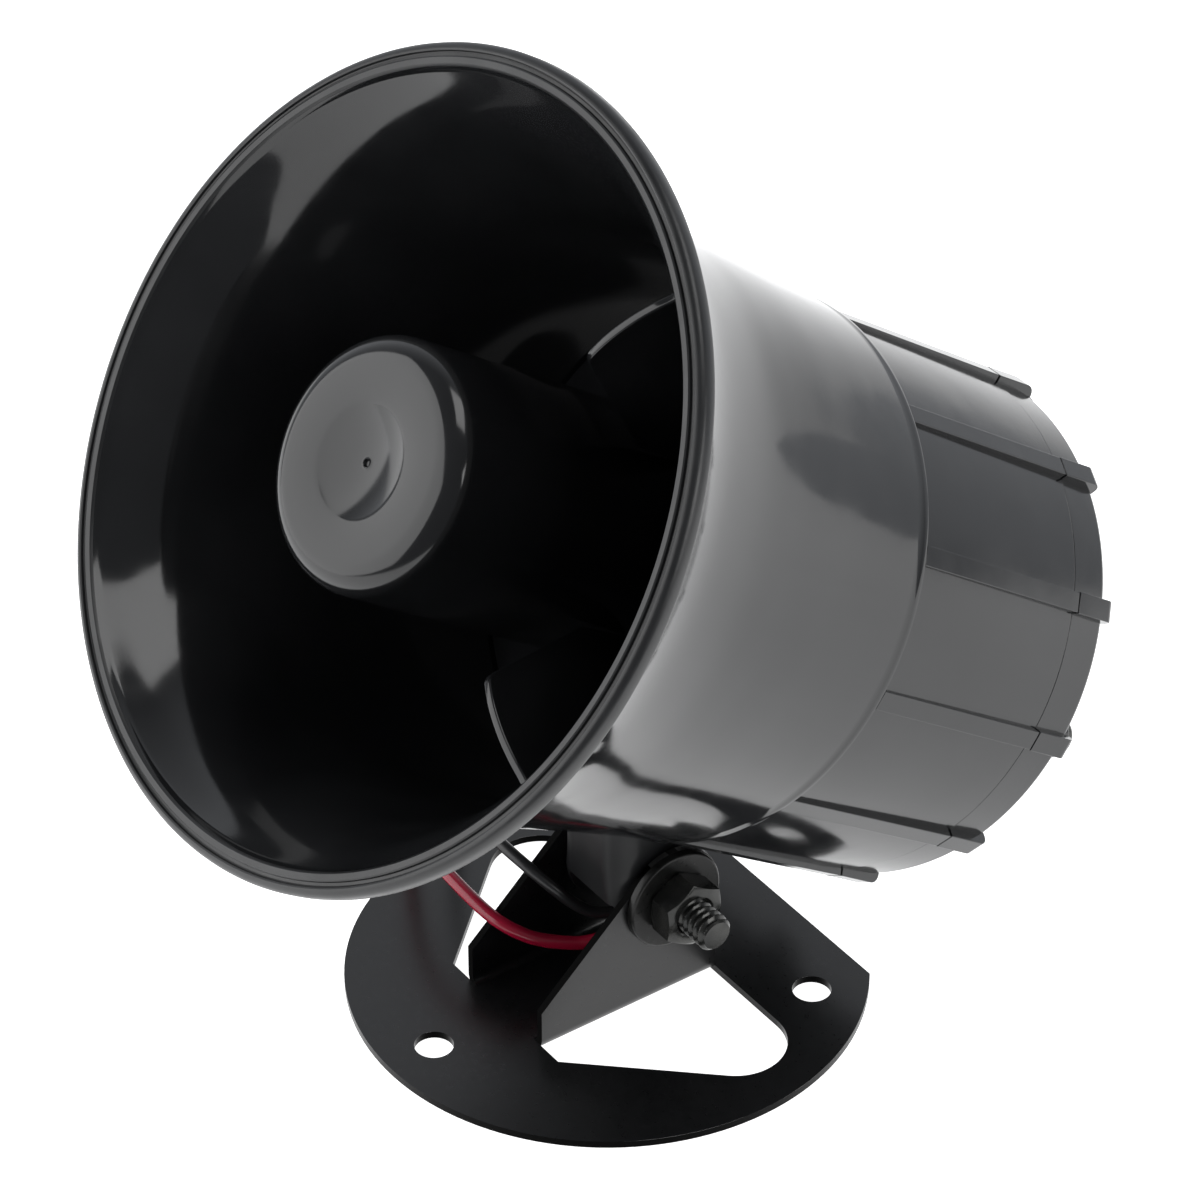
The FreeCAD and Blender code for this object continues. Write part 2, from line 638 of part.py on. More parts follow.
def output_transformer():
    core = on_board(10.0, 4.5, 13.0, 10.5, 8.5)
    window = Part.makeBox(9.0, 12.0, 3.0, Vector(5.5, -1.5, BOARD_BACK_S + 2.7))
    coil = Part.makeBox(8.6, 12.5, 6.4, Vector(5.7, -1.75, BOARD_BACK_S + 1.1))
    return placed(core.cut(window).fuse(coil).removeSplitter())


def capacitors():
    made = []
    for x, y, radius in ((-8.0, 16.5, 4.0), (2.0, 17.5, 3.2), (-15.0, -14.0, 2.5)):
        made.append(placed(Part.makeCylinder(radius, 8.8, Vector(x, y, BOARD_BACK_S))))
    return Part.makeCompound(made)


def resistors():
    made = []
    for n in range(4):
        x = -3.0 + 4.0 * n
        start = Vector(x, -20.5, BOARD_BACK_S + 1.2)
        made.append(placed(Part.makeCylinder(1.15, 6.2, start, Vector(0, 1, 0))))
    return Part.makeCompound(made)


# ---- Wires ----
def rounded_path(route):
    """Straight runs joined by tangent arcs."""
    points = [Vector(*p) for p in route]
    edges = []
    start = points[0]
    for before, corner, after in zip(points, points[1:], points[2:]):
        back = (before - corner).normalize()
        on = (after - corner).normalize()
        run = min((before - corner).Length, (after - corner).Length)
        half_turn = (math.pi - back.getAngle(on)) / 2
        setback = 0.45 * run
        radius = setback / math.tan(half_turn)
        enter = corner + back * setback
        leave = corner + on * setback
        towards = (back + on).normalize()
        deep = radius / math.cos(half_turn) - radius
        edges.append(Part.LineSegment(start, enter).toShape())
        edges.append(Part.Arc(enter, corner + towards * deep, leave).toShape())
        start = leave
    edges.append(Part.LineSegment(start, points[-1]).toShape())
    return Part.Wire(edges)


def tube(route, radius):
    """Round wire along a route."""
    way = Vector(*route[1]) - Vector(*route[0])
    section = Part.Wire(Part.makeCircle(radius, Vector(*route[0]), way))
    return rounded_path(route).makePipeShell([section], True, False)


def lead_tip(route, radius):
    """Tinned bare strand that carries on from the end of a lead."""
    end = Vector(*route[-1])
    way = (end - Vector(*route[-2])).normalize()
    return Part.makeCylinder(radius, TIP_LENGTH, end, way)


def from_horn(point):
    """A point of the horn's frame in the part's frame, as a tuple."""
    moved = HORN.multVec(point)
    return (moved.x, moved.y, moved.z)


def inner_lead(x, radius):
    """Lead inside the case: from the board forward past the driver and down the foot's duct."""
    y = (DUCT_Y0 + DUCT_Y1) / 2
    points = [
        from_horn(Vector(x, 24.5, BOARD_S - 0.4)),
        from_horn(Vector(x, 25.4, BOARD_S - 6.0)),
        from_horn(Vector(x, 27.6, BOARD_S - 12.0)),
        from_horn(Vector(x, 30.6, BOARD_S - 17.0)),
        (x, y, 25.6),
        (x, y, 20.0),
        (x, y + 0.1, 14.6),
    ]
    return tube(points, radius)


def inner_leads():
    return Part.makeCompound([inner_lead(INNER_RED_X, RED_R), inner_lead(INNER_BLACK_X, BLACK_R)])


def driver_leads():
    """Two short wires from the driver's terminals to the board."""
    start_s = DRIVER_SEAT_S + FRAME_T
    wires = [placed(rod(0.5, angle, 24.6, start_s, BOARD_S)) for angle in (12, 22)]
    return Part.makeCompound(wires)


NODES = {
    "base_bracket": base_bracket,
    "pivot_bolt": pivot_bolt,
    "pivot_washer": pivot_washer,
    "pivot_nut": pivot_nut,
    "horn_bell": horn_bell,
    "bell_vanes": bell_vanes,
    "tone_reflector": tone_reflector,
    "throat_tube": throat_tube,
    "throat_floor": throat_floor,
    "body_housing": body_housing,
    "rear_gasket": rear_gasket,
    "rear_cover": rear_cover,
    "rear_cover_screws": lambda: screws(
        SCREW_ANGLES, SCREW_CIRCLE_R, SCREW_HEAD_R, 1.8, 1.35, COVER_PAD_S, COVER_SCREW_END_S),
    "cable_grommet": cable_grommet,
    "driver_frame": driver_frame,
    "driver_screws": lambda: screws([a + 45 for a in SCREW_ANGLES], 25.0, 2.2, 1.7, 1.25, 64.0, 56.5),
    "diaphragm": diaphragm,
    "voice_coil": voice_coil,
    "front_plate": front_plate,
    "magnet_ring": magnet_ring,
    "pole_yoke": pole_yoke,
    "circuit_board": circuit_board,
    "board_screws": lambda: screws(POST_ANGLES, POST_CIRCLE_R, 2.2, 1.5, 1.05, BOARD_S, 89.0),
    "tone_chip": tone_chip,
    "power_transistor": power_transistor,
    "output_transformer": output_transformer,
    "capacitors": capacitors,
    "resistors": resistors,
    "driver_leads": driver_leads,
    "inner_leads": inner_leads,
    "red_lead": lambda: tube(RED_ROUTE, RED_R),
    "black_lead": lambda: tube(BLACK_ROUTE, BLACK_R),
    "red_lead_tip": lambda: lead_tip(RED_ROUTE, TIP_R),
    "black_lead_tip": lambda: lead_tip(BLACK_ROUTE, TIP_R),
}

os.makedirs("parts", exist_ok=True)
for name, make in NODES.items():
    shape = make()
    print(f"{name}: {len(shape.Solids)} solid(s), valid {shape.isValid()}, volume {shape.Volume:.1f}")
    shape.exportStep(f"parts/{name}.step")
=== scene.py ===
"""Horn alarm siren on a folded steel bracket: pieces, materials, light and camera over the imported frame.

Lengths are in millimetres until a piece is added; the horn's own frame has Z running back from the rim.
"""
import math

import bmesh
import bpy
from mathutils import Matrix, Vector


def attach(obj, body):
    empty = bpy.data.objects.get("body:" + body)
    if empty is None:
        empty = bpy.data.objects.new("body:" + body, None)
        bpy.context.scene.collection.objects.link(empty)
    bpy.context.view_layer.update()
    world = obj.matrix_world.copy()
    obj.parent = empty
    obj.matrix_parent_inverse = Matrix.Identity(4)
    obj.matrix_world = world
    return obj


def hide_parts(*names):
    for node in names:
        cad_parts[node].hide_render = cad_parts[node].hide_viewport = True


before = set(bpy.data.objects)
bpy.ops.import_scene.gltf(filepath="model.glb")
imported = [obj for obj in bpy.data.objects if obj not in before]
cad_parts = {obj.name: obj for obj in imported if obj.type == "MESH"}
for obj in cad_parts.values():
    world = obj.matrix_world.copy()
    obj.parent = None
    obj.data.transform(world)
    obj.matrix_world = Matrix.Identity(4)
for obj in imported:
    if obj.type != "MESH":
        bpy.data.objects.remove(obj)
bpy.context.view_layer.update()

MM = 0.001
TILT = math.radians(34.9)
PIVOT = Vector((0, 4.0, 16.0))
FORWARD = Vector((0, -math.cos(TILT), math.sin(TILT)))
UPWARD = Vector((0, math.sin(TILT), math.cos(TILT)))
RIM_AHEAD, RIM_ABOVE = 73.95, 40.8      # centre of the rim from the pivot, along and across the horn
RIM = PIVOT + FORWARD * RIM_AHEAD + UPWARD * RIM_ABOVE
HORN = Matrix.Translation(RIM) @ Matrix((
    (1, 0, 0, 0),
    (0, -UPWARD.y, -FORWARD.y, 0),
    (0, -UPWARD.z, -FORWARD.z, 0),
    (0, 0, 0, 1),
))

# ---------------------------------------------------------------- camera
CAMERA_AT = Vector((413.45, -296.20, 428.18)) * MM
CAMERA_AIM = Vector((-12.15, 6.78, 49.29)) * MM
camera = bpy.data.objects.new("camera", bpy.data.cameras.new("camera"))
bpy.context.collection.objects.link(camera)
camera.data.sensor_width = 36
camera.data.lens = 157.16
camera.data.clip_end = 20
camera.location = CAMERA_AT
camera.rotation_euler = (CAMERA_AIM - CAMERA_AT).to_track_quat("-Z", "Y").to_euler()
bpy.context.scene.camera = camera


# ---------------------------------------------------------------- materials
def new_material(name):
    """Material with its node tree and its Principled shader."""
    mat = bpy.data.materials.new(name)
    mat.use_nodes = True
    return mat, mat.node_tree, mat.node_tree.nodes["Principled BSDF"]


def noise(tree, scale, detail, stretch=None):
    """Noise texture on object coordinates; the scale is features per metre."""
    coord = tree.nodes.new("ShaderNodeTexCoord")
    tex = tree.nodes.new("ShaderNodeTexNoise")
    tex.inputs["Scale"].default_value = scale
    tex.inputs["Detail"].default_value = detail
    source = coord.outputs["Object"]
    if stretch:
        mapping = tree.nodes.new("ShaderNodeMapping")
        mapping.inputs["Scale"].default_value = stretch
        tree.links.new(source, mapping.inputs["Vector"])
        source = mapping.outputs["Vector"]
    tree.links.new(source, tex.inputs["Vector"])
    return tex.outputs["Fac"]


def spread(tree, fac, low, high, start=0.3, end=0.7):
    """Value between start and end mapped to a range."""
    node = tree.nodes.new("ShaderNodeMapRange")
    node.inputs["From Min"].default_value = start
    node.inputs["From Max"].default_value = end
    node.inputs["To Min"].default_value = low
    node.inputs["To Max"].default_value = high
    tree.links.new(fac, node.inputs["Value"])
    return node.outputs["Result"]


def tint(tree, fac, dark, light, start=0.35, end=0.65):
    """Value between start and end mapped to a colour."""
    ramp = tree.nodes.new("ShaderNodeValToRGB")
    ramp.color_ramp.elements[0].position = start
    ramp.color_ramp.elements[1].position = end
    ramp.color_ramp.elements[0].color = (*dark, 1)
    ramp.color_ramp.elements[1].color = (*light, 1)
    tree.links.new(fac, ramp.inputs["Fac"])
    return ramp.outputs["Color"]


def bumps(tree, shader, layers):
    """Bump nodes in a row, each (height, strength, distance in metres)."""
    last = None
    for height, strength, distance in layers:
        node = tree.nodes.new("ShaderNodeBump")
        node.inputs["Strength"].default_value = strength
        node.inputs["Distance"].default_value = distance
        tree.links.new(height, node.inputs["Height"])
        if last:
            tree.links.new(last, node.inputs["Normal"])
        last = node.outputs["Normal"]
    tree.links.new(last, shader.inputs["Normal"])


def moulded(name, dark, light, rough, wave=0.12, grain=0.05, fine=2600):
    """Moulded plastic: faint flow clouding, an uneven gloss and a very slight ripple."""
    mat, tree, shader = new_material(name)
    tree.links.new(tint(tree, noise(tree, 60, 4), dark, light), shader.inputs["Base Color"])
    tree.links.new(spread(tree, noise(tree, 220, 6), *rough), shader.inputs["Roughness"])
    bumps(tree, shader, [
        (noise(tree, 75, 1.5), wave, 0.0004),
        (noise(tree, fine, 2), grain, 0.00002),
    ])
    return mat


def metal(name, dark, light, rough, metallic=1.0, grain=0.15, stretch=(1, 1, 1), scale=900):
    """Metal or painted metal with a fine uneven surface and slight colour change."""
    mat, tree, shader = new_material(name)
    tree.links.new(tint(tree, noise(tree, scale / 4, 5), dark, light), shader.inputs["Base Color"])
    tree.links.new(spread(tree, noise(tree, scale, 5, stretch), *rough), shader.inputs["Roughness"])
    shader.inputs["Metallic"].default_value = metallic
    bumps(tree, shader, [
        (noise(tree, scale * 2, 4, stretch), grain, 0.00003),
        (noise(tree, 90, 2), 0.06, 0.0003),
    ])
    return mat


BLACK = (0.0078, 0.0081, 0.0087)
BLACK_2 = (0.0122, 0.0126, 0.0134)
gloss = moulded("gloss_black", BLACK, BLACK_2, rough=(0.07, 0.12), wave=0.08)
rim_satin = moulded("rim_satin", (0.008, 0.0083, 0.009), (0.015, 0.0155, 0.0165), rough=(0.3, 0.42), wave=0.1,
                    grain=0.2)
housing_gloss = moulded("housing_black", BLACK, BLACK_2, rough=(0.1, 0.17), wave=0.14)
bullet_gloss = moulded("bullet_black", BLACK, BLACK_2, rough=(0.1, 0.16), wave=0.05)
paint = metal("bracket_paint", (0.004, 0.0041, 0.0045), (0.0052, 0.0053, 0.0058), rough=(0.27, 0.33),
              metallic=0.0, grain=0.04, scale=1600)
# Painted shade: near-black, non-reflecting metal colour that darkens the bracket's cut edges and the walls of
# its rim and holes.
EDGE_PAINTED_SHADE = (0.0012, 0.0012, 0.0012)
# Painted highlight: bright bare-metal colour for the thin line where the cut edges lean only a little.
EDGE_PAINTED_HIGHLIGHT = (0.3, 0.3, 0.3)
BELOW_PLATE_TOP = 0.99      # the plate is 1 mm thick
UPRIGHT = 0.3               # largest Z of a wall's normal


def cut_edges(mat):
    """Stamped sheet with painted light on its cut edges: a bright bare-metal line as a painted highlight
    where they lean only a little, and near-black, non-reflecting metal as painted shade on the rest.

    Cut edges have normals that lean along Y, or are upright below the top of the plate.
    """
    tree = mat.node_tree
    shader = tree.nodes["Principled BSDF"]
    geometry = tree.nodes.new("ShaderNodeNewGeometry")

    def math_node(operation, first, second=None):
        """Math node on sockets or numbers."""
        node = tree.nodes.new("ShaderNodeMath")
        node.operation = operation
        for socket, value in zip(node.inputs, (first, second)):
            if isinstance(value, float):
                socket.default_value = value
            elif value is not None:
                tree.links.new(value, socket)
        return node.outputs["Value"]

    def axes(vector):
        node = tree.nodes.new("ShaderNodeSeparateXYZ")
        tree.links.new(vector, node.inputs["Vector"])
        return node.outputs

    def mixed(factor, first, second):
        """First colour where the factor is 0, second where it is 1; the second may be a plain colour."""
        node = tree.nodes.new("ShaderNodeMix")
        node.data_type = "RGBA"
        colours = [socket for socket in node.inputs if socket.type == "RGBA"]
        tree.links.new(factor, node.inputs["Factor"])
        tree.links.new(first, colours[0])
        if isinstance(second, tuple):
            colours[1].default_value = second
        else:
            tree.links.new(second, colours[1])
        return next(socket for socket in node.outputs if socket.type == "RGBA")

    normal = axes(geometry.outputs["True Normal"])
    lean = math_node("ABSOLUTE", normal["Y"])
    low = math_node("LESS_THAN", axes(geometry.outputs["Position"])["Z"], BELOW_PLATE_TOP * MM)
    # Painted shade on the walls below the plate's top: its rim and the walls of its holes.
    wall = math_node("MULTIPLY", low, math_node("LESS_THAN", math_node("ABSOLUTE", normal["Z"]), UPRIGHT))
    # Mask of the cut edges, which get the painted highlight line and the painted shade; they are made
    # metallic here.
    edge_light_mask = spread(tree, lean, 0.0, 1.0, 0.08, 0.14)
    # Painted highlight where the edge leans little, painted shade where it leans more.
    edge = tint(tree, lean, EDGE_PAINTED_HIGHLIGHT, EDGE_PAINTED_SHADE, 0.45, 0.52)
    painted = shader.inputs["Base Color"].links[0].from_socket
    colour = mixed(wall, mixed(edge_light_mask, painted, edge), (*EDGE_PAINTED_SHADE, 1))
    tree.links.new(colour, shader.inputs["Base Color"])
    tree.links.new(math_node("MAXIMUM", edge_light_mask, wall), shader.inputs["Metallic"])


cut_edges(paint)
oxide = metal("black_oxide", (0.02, 0.0205, 0.02), (0.045, 0.045, 0.042), rough=(0.14, 0.26), metallic=0.6,
              grain=0.25, scale=1400)
dull_oxide = metal("dull_oxide", (0.004, 0.0042, 0.004), (0.008, 0.008, 0.0076), rough=(0.26, 0.38),
                   metallic=0.0, scale=1400)
dull_oxide.node_tree.nodes["Principled BSDF"].inputs["IOR"].default_value = 1.32
foot_satin = moulded("foot_black", BLACK, BLACK_2, rough=(0.26, 0.34), wave=0.14)
zinc = metal("zinc_screw", (0.32, 0.32, 0.33), (0.5, 0.5, 0.5), rough=(0.25, 0.4), grain=0.2)
steel = metal("motor_steel", (0.42, 0.42, 0.43), (0.62, 0.62, 0.62), rough=(0.22, 0.4), stretch=(1, 8, 1))
ferrite = metal("ferrite_grey", (0.035, 0.035, 0.038), (0.085, 0.085, 0.09), rough=(0.5, 0.75), metallic=0.1,
                grain=0.6)
rubber = moulded("rubber_black", (0.012, 0.012, 0.012), (0.022, 0.022, 0.022), rough=(0.55, 0.75),
                 grain=0.4)
frame_plastic = moulded("matte_black", (0.012, 0.012, 0.013), (0.02, 0.02, 0.022), rough=(0.4, 0.55),
                        grain=0.3)
film = moulded("amber_film", (0.32, 0.19, 0.07), (0.48, 0.32, 0.14), rough=(0.22, 0.38), grain=0.1)
board_mat = moulded("board_laminate", (0.26, 0.15, 0.05), (0.42, 0.28, 0.11), rough=(0.35, 0.5), grain=0.3,
                    fine=1200)
chip_mat = moulded("chip_epoxy", (0.012, 0.012, 0.012), (0.026, 0.026, 0.026), rough=(0.45, 0.6), grain=0.5)
core_mat = metal("core_steel", (0.09, 0.09, 0.095), (0.24, 0.24, 0.24), rough=(0.35, 0.55),
                 stretch=(1, 1, 12), scale=600)
sleeve = moulded("capacitor_sleeve", (0.01, 0.016, 0.06), (0.02, 0.032, 0.10), rough=(0.2, 0.3))
lacquer = moulded("resistor_lacquer", (0.42, 0.30, 0.16), (0.6, 0.47, 0.28), rough=(0.25, 0.4), grain=0.2)
pale_wire = moulded("driver_wire", (0.4, 0.36, 0.3), (0.55, 0.5, 0.44), rough=(0.35, 0.5))
hidden_wire = moulded("inner_wire", (0.2, 0.02, 0.03), (0.28, 0.03, 0.045), rough=(0.3, 0.42))
red_wire = moulded("red_insulation", (0.2, 0.002, 0.017), (0.28, 0.004, 0.024), rough=(0.16, 0.26), wave=0.1,
                   grain=0.12)
black_wire = moulded("black_insulation", (0.008, 0.008, 0.009), (0.016, 0.016, 0.017), rough=(0.3, 0.42),
                     grain=0.15)
tinned = metal("tinned_copper", (0.55, 0.5, 0.44), (0.78, 0.75, 0.7), rough=(0.25, 0.4))
copper = metal("enamelled_copper", (0.5, 0.19, 0.07), (0.7, 0.33, 0.14), rough=(0.25, 0.4),
               stretch=(1, 20, 20))


# ---------------------------------------------------------------- helpers
def add(name, mesh, mats, body, replaced, place, angle, flat_faces=False):
    """Link a mesh piece, shade it, attach it to the body it rides on and hide the CAD parts it stands for.

    Edges that turn by more than angle degrees are shaded sharp. flat_faces keeps the shading of large faces
    flat right up to their rounded edges.
    """
    if place:
        mesh.transform(place)
    mesh.transform(Matrix.Scale(MM, 4))
    obj = bpy.data.objects.new(name, mesh)
    bpy.context.collection.objects.link(obj)
    for mat in mats:
        mesh.materials.append(mat)
    for poly in mesh.polygons:
        poly.use_smooth = True
    mesh.set_sharp_from_angle(angle=math.radians(angle))
    mesh.update()
    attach(obj, body)
    if replaced:
        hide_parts(*replaced)
    if flat_faces:
        weighted = obj.modifiers.new("weighted_normals", "WEIGHTED_NORMAL")
        weighted.keep_sharp = True


def finished(name, bm):
    """Mesh from a bmesh, with its seams welded and its faces turned outwards."""
    bmesh.ops.remove_doubles(bm, verts=bm.verts, dist=1e-5)
    bmesh.ops.recalc_face_normals(bm, faces=bm.faces)
    mesh = bpy.data.meshes.new(name)
    bm.to_mesh(mesh)
    bm.free()
    return mesh


def smooth(points, steps):
    """Points along a Catmull-Rom curve through the given ones."""
    pts = [Vector(p) for p in points]
    ends = [pts[0] * 2 - pts[1]] + pts + [pts[-1] * 2 - pts[-2]]
    out = []
    for a, b, c, d in zip(ends, ends[1:], ends[2:], ends[3:]):
        for n in range(steps):
            t = n / steps
            out.append(0.5 * (2 * b + (c - a) * t + (2 * a - 5 * b + 4 * c - d) * t ** 2
                              + (3 * b - a - 3 * c + d) * t ** 3))
    return [tuple(p) for p in out] + [tuple(pts[-1])]


def fillet(corner, before, after, radius, steps):
    """Rounded corner between two straight sides, as points."""
    c, a, b = Vector(corner), Vector(before), Vector(after)
    da, db = (a - c).normalized(), (b - c).normalized()
    half = da.angle(db) / 2
    back = radius / math.tan(half)
    centre = c + (da + db).normalized() * (radius / math.sin(half))
    start, end = c + da * back - centre, c + db * back - centre
    out = []
    for n in range(steps + 1):
        t = n / steps
        out.append(tuple(centre + (start * (1 - t) + end * t).normalized() * radius))
    return out


def rounded(points, radii, closed=True, steps=6):
    """Polygon with a fillet at each corner; radius 0 keeps the corner. An open one keeps its two ends."""
    out = []
    count = len(points)
    for n, (p, r) in enumerate(zip(points, radii)):
        if r == 0 or (not closed and n in (0, count - 1)):
            out.append(tuple(p))
        else:
            out += fillet(p, points[n - 1], points[(n + 1) % count], r, steps)
    return out


def ring_faces(bm, one, two):
    """Faces between two rings of vertices, where either may have shrunk to a single repeated vertex."""
    for k in range(len(one)):
        j = (k + 1) % len(one)
        corners = []
        for v in (one[k], one[j], two[j], two[k]):
            if v not in corners:
                corners.append(v)
        if len(corners) > 2:
            bm.faces.new(corners)


def lathe(profile, segments, closed=True):
    """Mesh from a (radius, s) profile turned about the local Z axis."""
    bm = bmesh.new()
    rings = []
    for r, s in profile:
        if r < 1e-6:
            rings.append([bm.verts.new((0, 0, s))] * segments)
        else:
            ring = []
            for k in range(segments):
                a = 2 * math.pi * k / segments
                ring.append(bm.verts.new((r * math.cos(a), -r * math.sin(a), s)))
            rings.append(ring)
    pairs = list(zip(rings, rings[1:]))
    if closed:
        pairs.append((rings[-1], rings[0]))
    for one, two in pairs:
        ring_faces(bm, one, two)
    return finished("lathe", bm)


def prism(outline, width, round_edge=0.25, segments=3):
    """Flat plate from a 2D outline in local XZ, centred on Y, with its edges rounded."""
    bm = bmesh.new()
    faces = []
    for y in (-width / 2, width / 2):
        faces.append([bm.verts.new((x, y, z)) for x, z in outline])
    bm.faces.new(faces[0])
    bm.faces.new(list(reversed(faces[1])))
    count = len(outline)
    for k in range(count):
        j = (k + 1) % count
        bm.faces.new((faces[0][k], faces[0][j], faces[1][j], faces[1][k]))
    bmesh.ops.recalc_face_normals(bm, faces=bm.faces)
    if round_edge:
        rims = [e for e in bm.edges if abs(e.verts[0].co.y - e.verts[1].co.y) < 1e-6]
        bmesh.ops.bevel(bm, geom=rims, offset=round_edge, segments=segments, profile=0.5, affect="EDGES",
                        clamp_overlap=True)
    return finished("prism", bm)


def joined(name, parts):
    """One mesh from several (mesh, matrix) pairs."""
    bm = bmesh.new()
    for mesh, matrix in parts:
        copy = mesh.copy()
        copy.transform(matrix)
        bm.from_mesh(copy)
        bpy.data.meshes.remove(copy)
    mesh = bpy.data.meshes.new(name)
    bm.to_mesh(mesh)
    bm.free()
    return mesh


def spin(angle):
    """Turn about the horn axis: 0 is +X, 90 is the top."""
    return Matrix.Rotation(-math.radians(angle), 4, "Z")


def around(mesh, angles, radius=0):
    """(mesh, matrix) pairs that repeat a mesh round the horn axis, moved out from it by a radius."""
    return [(mesh, spin(a) @ Matrix.Translation((radius, 0, 0))) for a in angles]


IDENTITY = Matrix.Identity(4)

# ---------------------------------------------------------------- leads
RED_ROUTE = [
    (4.0, 1.35, 10.3), (1.9, -2.2, 6.85), (-1.9, -8.9, 7.9), (-4.7, -12.35, 10.05),
    (-8.7, -13.5, 11.2), (-16.3, -13.6, 12.0), (-24.0, -12.2, 10.9), (-31.5, -8.8, 7.5),
    (-38.5, -4.8, 3.4), (-46.0, -0.4, 1.15), (-54.0, 5.6, 0.95), (-61.0, 13.6, 0.95),
    (-65.0, 23.2, 0.95), (-65.5, 33.6, 0.95), (-61.5, 43.2, 0.95), (-53.5, 50.2, 0.95),
    (-43.5, 54.2, 0.95), (-33.5, 57.8, 0.95), (-24.8, 63.0, 0.95),
]
BLACK_ROUTE = [
    (0.9, 2.3, 9.7), (-0.2, -0.9, 9.6), (-1.9, -3.5, 11.2), (-4.1, -6.2, 14.5),
    (-8.5, -8.3, 17.2), (-14.5, -8.6, 17.7), (-20.5, -7.4, 15.9), (-27.0, -4.6, 12.3),
    (-33.5, -0.8, 7.4), (-40.0, 4.4, 2.6), (-46.0, 11.6, 0.9), (-49.8, 20.4, 0.85),
    (-50.2, 30.2, 0.85), (-46.5, 39.0, 0.85), (-39.0, 44.6, 0.85), (-29.8, 46.0, 0.85),
    (-20.8, 47.6, 0.85), (-12.6, 51.6, 0.85), (-6.6, 54.5, 0.85), (-0.4, 55.2, 0.85),
]
STRAND_RADIUS = 0.165
STRAND_CIRCLE = 0.34        # six strands lie on this radius round a seventh
STRAND_STEPS = 12
TIP_LENGTH = 5.9
TIP_SUNK = 0.2              # how far the strands start inside the insulation
TIP_STAGGER = 0.3           # the strands' ends differ by this much
TWIST = 300                 # degrees along the tip


def lead(name, route, radius, mat):
    """Insulated wire and the bare strands at its end."""
    data = bpy.data.curves.new(name + "_wire", "CURVE")
    data.dimensions = "3D"
    spline = data.splines.new("NURBS")
    spline.points.add(len(route) - 1)
    for point, p in zip(spline.points, route):
        point.co = (*(Vector(p) * MM), 1)
    spline.order_u = 3
    spline.use_endpoint_u = True
    spline.resolution_u = 12
    data.bevel_depth = radius * MM
    data.bevel_resolution = 6
    data.use_fill_caps = True
    obj = bpy.data.objects.new(name + "_wire", data)
    bpy.context.collection.objects.link(obj)
    data.materials.append(mat)
    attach(obj, "base")
    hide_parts(name)

    end = Vector(route[-1])
    way = (end - Vector(route[-2])).normalized()
    side = way.cross(Vector((0, 0, 1))).normalized()
    up = side.cross(way)
    strands = bpy.data.curves.new(name + "_tip_strands", "CURVE")
    strands.dimensions = "3D"
    strands.bevel_depth = STRAND_RADIUS * MM
    strands.bevel_resolution = 3
    strands.use_fill_caps = True
    for k in range(7):
        wire = strands.splines.new("NURBS")
        wire.points.add(STRAND_STEPS)
        for n in range(STRAND_STEPS + 1):
            t = n / STRAND_STEPS
            a = math.radians(60 * k + TWIST * t)
            out = 0 if k == 6 else STRAND_CIRCLE
            along = TIP_LENGTH * t - TIP_SUNK + TIP_STAGGER * t * (k % 3 - 1)
            at = end + way * along + (side * math.cos(a) + up * math.sin(a)) * out
            wire.points[n].co = (*(at * MM), 1)
        wire.order_u = 3
        wire.use_endpoint_u = True
    tip = bpy.data.objects.new(name + "_tip_strands", strands)
    bpy.context.collection.objects.link(tip)
    strands.materials.append(tinned)
    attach(tip, "base")
    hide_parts(name + "_tip")


lead("red_lead", RED_ROUTE, 0.9, red_wire)
lead("black_lead", BLACK_ROUTE, 0.8, black_wire)

# ---------------------------------------------------------------- horn
BELL_OUTSIDE = [
    (47.9, 3.3), (45.4, 6.2), (43.0, 10.0), (40.6, 16.0), (38.5, 24.0),
    (37.2, 32.0), (36.1, 42.0), (35.4, 50.0), (34.9, 57.2),
]
BELL_INSIDE = [
    (46.8, 0.9), (43.5, 5.2), (41.1, 9.6), (38.7, 15.6), (36.5, 23.8),
    (35.2, 32.0), (34.1, 42.0), (33.4, 50.0), (32.8, 58.5),
]


def bell():
    """Bell of revolution: stepped rim, and a small bead at the joint with the body."""
    lip = [
        (46.95, 0.35), (47.25, 0.05), (47.95, 0.0), (48.12, 0.12), (48.2, 0.45), (48.55, 0.5), (48.7, 0.42),
        (48.8, 0.1), (49.0, -0.0), (49.25, 0.05), (49.6, 0.25), (49.85, 0.55), (49.97, 0.95), (49.97, 2.0),
        (49.85, 2.3), (49.55, 2.5), (49.0, 2.62), (48.5, 2.8),
    ]
    bead = [(34.95, 57.6), (34.98, 58.0), (34.93, 58.35), (34.75, 58.5)]
    profile = list(reversed(smooth(BELL_INSIDE, 10))) + lip + smooth(BELL_OUTSIDE, 10) + bead
    return lathe(profile, 256)


VANE_FRONT = [
    (15.9, 29.2), (18.6, 24.0), (21.8, 18.2), (24.6, 12.9), (26.2, 10.0), (26.9, 9.2), (27.8, 8.8),
    (31.0, 8.3), (34.5, 8.4), (37.5, 9.0), (40.2, 9.9), (42.2, 10.4),
]
VANE_ROOT = [(40.0, 15.4), (37.8, 22.6), (36.2, 32.0), (35.1, 42.0), (34.4, 49.5), (15.5, 37.5)]
VANE_ANGLES = (60, -30)
STUB_ANGLES = (15, 105, 195, 285)
LIP_DEPTH, LIP_INNER = 3.2, 46.9        # the satin lip lies before this s and outside this radius
bell_mesh = bell()
for poly in bell_mesh.polygons:
    if poly.center.z < LIP_DEPTH and poly.center.xy.length > LIP_INNER:
        poly.material_index = 1
add("flared_bell", bell_mesh, [gloss, rim_satin], "head", ["horn_bell"], HORN, 30)
vane_mesh = prism(smooth(VANE_FRONT, 5) + VANE_ROOT, 1.1, 0.4, 5)
